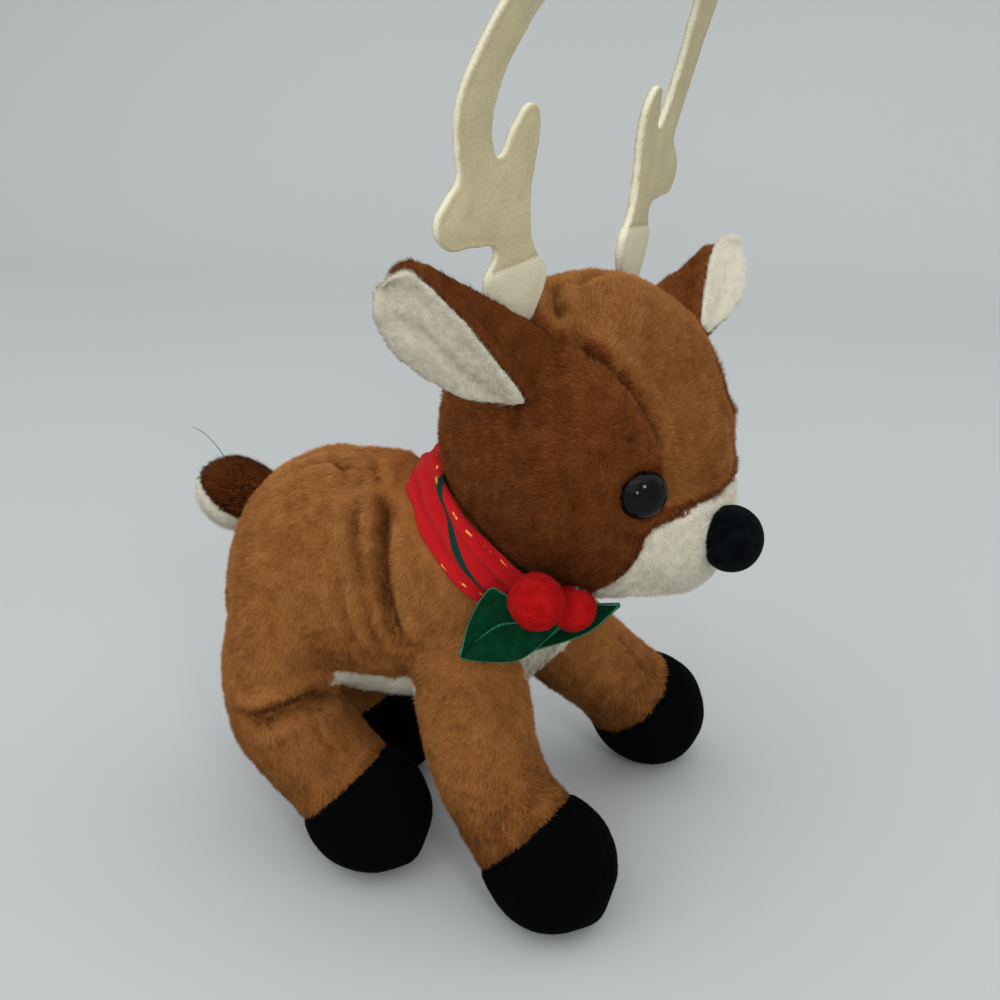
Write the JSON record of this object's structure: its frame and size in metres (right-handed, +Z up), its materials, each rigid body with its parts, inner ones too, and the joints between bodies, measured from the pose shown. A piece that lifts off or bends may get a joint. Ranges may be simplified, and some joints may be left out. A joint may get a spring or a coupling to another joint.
{
  "type": "plush deer",
  "caption": "Standing stuffed deer of short plush with felt antlers, velvet hooves, a plaid scarf, and a sprig of leaves and pompons.",
  "frame": {"origin": "on the floor, under the middle of the toy's box", "axes": "+X the way the body faces, +Y the toy's left side, +Z up"},
  "size_m": [0.1684, 0.1256, 0.2543],
  "materials": {
    "caramel_plush": "short plush pile",
    "brown_plush": "short plush pile",
    "forehead_plush": "short plush pile",
    "cream_plush": "short plush pile",
    "ivory_felt": "pressed felt",
    "black_velvet": "velvet",
    "eye_plastic": "polished",
    "washer_plastic": "moulded",
    "stiffener": "pressed sheet",
    "filling": "loose fibre",
    "red_yarn": "cut yarn",
    "plaid_cloth": "woven plaid",
    "green_velvet": "velvet"
  },
  "bodies": {
    "torso": {"body_panel_left": "caramel_plush", "body_panel_right": "caramel_plush", "belly_panel": "cream_plush", "body_filling": "filling", "scarf": "plaid_cloth", "pompon_outer": "red_yarn", "pompon_inner": "red_yarn"},
    "leaf_near": {"leaf_near": "green_velvet"},
    "leaf_far": {"leaf_far": "green_velvet"},
    "head": {"face_panel_left": "brown_plush", "face_panel_right": "brown_plush", "forehead_panel": "forehead_plush", "muzzle_panel": "cream_plush", "head_filling": "filling", "eye_left": "eye_plastic", "eye_right": "eye_plastic", "eye_left_washer": "washer_plastic", "eye_right_washer": "washer_plastic", "nose": "black_velvet", "nose_washer": "washer_plastic"},
    "tail": {"tail_top": "brown_plush", "tail_underside": "cream_plush", "tail_filling": "filling"},
    "ear_left": {"ear_back_left": "brown_plush", "ear_lining_left": "cream_plush"},
    "antler_left": {"antler_front_left": "ivory_felt", "antler_back_left": "ivory_felt", "antler_stiffener_left": "stiffener"},
    "ear_right": {"ear_back_right": "brown_plush", "ear_lining_right": "cream_plush"},
    "antler_right": {"antler_front_right": "ivory_felt", "antler_back_right": "ivory_felt", "antler_stiffener_right": "stiffener"},
    "leg_front_right": {"leg_front_right": "caramel_plush", "hoof_front_right": "black_velvet", "leg_filling_front_right": "filling"},
    "leg_front_left": {"leg_front_left": "caramel_plush", "hoof_front_left": "black_velvet", "leg_filling_front_left": "filling"},
    "leg_rear_right": {"leg_rear_right": "caramel_plush", "hoof_rear_right": "black_velvet", "leg_filling_rear_right": "filling"},
    "leg_rear_left": {"leg_rear_left": "caramel_plush", "hoof_rear_left": "black_velvet", "leg_filling_rear_left": "filling"}
  },
  "joints": [
    {"name": "neck", "type": "hinge", "parent": "torso", "child": "head", "pos_m": [0.03709, -0.0038, 0.13353], "axis": [0.6428, 0, 0.766], "range_deg": [-3, 12], "stiffness_Nm_per_rad": 0.5},
    {"name": "hip_front_right", "type": "hinge", "parent": "torso", "child": "leg_front_right", "pos_m": [0.0053, -0.02364, 0.074], "axis": [0, 1, 0], "range_deg": [-12, 12], "stiffness_Nm_per_rad": 1.5},
    {"name": "hip_front_left", "type": "hinge", "parent": "torso", "child": "leg_front_left", "pos_m": [0.0053, 0.01604, 0.074], "axis": [0, 1, 0], "range_deg": [-12, 12], "stiffness_Nm_per_rad": 1.5},
    {"name": "hip_rear_right", "type": "hinge", "parent": "torso", "child": "leg_rear_right", "pos_m": [-0.0507, -0.023, 0.07788], "axis": [0, 1, 0], "range_deg": [-6, 12], "stiffness_Nm_per_rad": 1.5},
    {"name": "hip_rear_left", "type": "hinge", "parent": "torso", "child": "leg_rear_left", "pos_m": [-0.0507, 0.0154, 0.07788], "axis": [0, 1, 0], "range_deg": [-6, 12], "stiffness_Nm_per_rad": 1.5},
    {"name": "tail_root", "type": "hinge", "parent": "torso", "child": "tail", "pos_m": [-0.0617, -0.0038, 0.10502], "axis": [0, 0, 1], "range_deg": [-15, 15], "stiffness_Nm_per_rad": 0.05},
    {"name": "ear_root_left", "type": "hinge", "parent": "head", "child": "ear_left", "pos_m": [0.0505, 0.02632, 0.16083], "axis": [0.23, -0.4695, 0.8524], "range_deg": [-15, 15], "stiffness_Nm_per_rad": 0.03},
    {"name": "ear_root_right", "type": "hinge", "parent": "head", "child": "ear_right", "pos_m": [0.02495, -0.03309, 0.15957], "axis": [-0.524, -0.2539, -0.813], "range_deg": [-15, 1], "stiffness_Nm_per_rad": 0.03},
    {"name": "antler_root_left", "type": "hinge", "parent": "head", "child": "antler_left", "pos_m": [0.0396, 0.02423, 0.16407], "axis": [0.1082, 0.6563, -0.7467], "range_deg": [-15, 4], "stiffness_Nm_per_rad": 0.08},
    {"name": "antler_root_right", "type": "hinge", "parent": "head", "child": "antler_right", "pos_m": [0.01793, -0.02442, 0.16407], "axis": [-0.4153, -0.5196, -0.7467], "range_deg": [-2, 15], "stiffness_Nm_per_rad": 0.08},
    {"name": "leaf_root_near", "type": "hinge", "parent": "torso", "child": "leaf_near", "pos_m": [0.0253, -0.0423, 0.094], "axis": [-0.5141, 0.2003, 0.834], "range_deg": [0, 12], "stiffness_Nm_per_rad": 0.01},
    {"name": "leaf_root_far", "type": "hinge", "parent": "torso", "child": "leaf_far", "pos_m": [0.0348, -0.0328, 0.0875], "axis": [-0.5417, 0.2759, 0.794], "range_deg": [0, 12], "stiffness_Nm_per_rad": 0.01}
  ]
}
